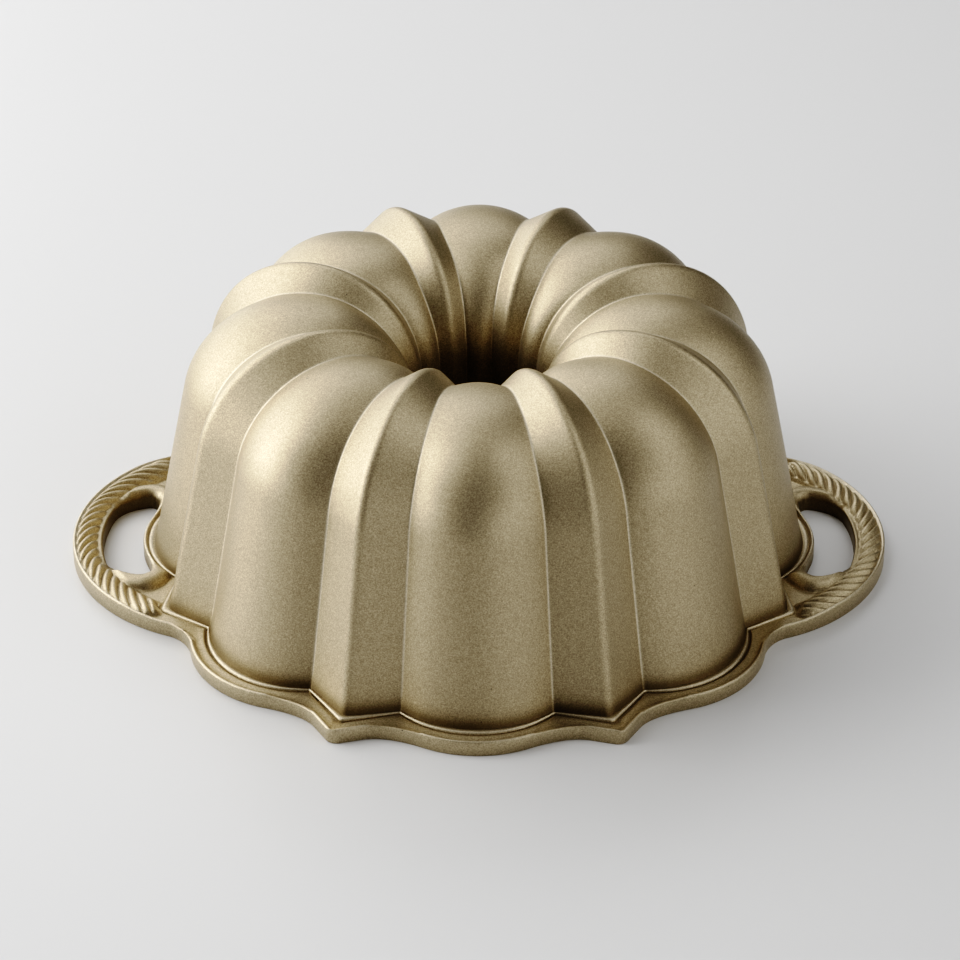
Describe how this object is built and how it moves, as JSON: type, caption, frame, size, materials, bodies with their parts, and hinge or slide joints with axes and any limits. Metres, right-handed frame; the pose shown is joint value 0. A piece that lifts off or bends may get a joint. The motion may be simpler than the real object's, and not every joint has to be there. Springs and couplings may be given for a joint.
{
  "type": "fluted tube cake pan",
  "caption": "Fluted ring cake pan of cast metal, upside down on its rim, with alternating round and pointed flutes, an open centre tube, a stepped rim and two rope-edged loop handles.",
  "frame": {"origin": "on the pan's centre axis, in the plane of the rim's flat face that it stands on", "axes": "+X towards the right handle, +Z from the rim up to the closed crown, with the pan upside down; -Y towards the viewer"},
  "size_m": [0.3114, 0.2676, 0.1111],
  "materials": {
    "cast_body": "cast metal with a champagne-gold satin coating of fine sparkling grain"
  },
  "bodies": {
    "root": {"round_flute_1": "cast_body", "round_flute_2": "cast_body", "round_flute_3": "cast_body", "round_flute_4": "cast_body", "round_flute_5": "cast_body", "round_flute_6": "cast_body", "round_flute_7": "cast_body", "round_flute_8": "cast_body", "pointed_flute_1": "cast_body", "pointed_flute_2": "cast_body", "pointed_flute_3": "cast_body", "pointed_flute_4": "cast_body", "pointed_flute_5": "cast_body", "pointed_flute_6": "cast_body", "pointed_flute_7": "cast_body", "pointed_flute_8": "cast_body", "centre_tube": "cast_body", "foot_ledge_front": "cast_body", "foot_ledge_back": "cast_body", "rim_front": "cast_body", "rim_back": "cast_body", "right_handle": "cast_body", "left_handle": "cast_body", "right_rope_band": "cast_body", "left_rope_band": "cast_body"}
  },
  "joints": []
}
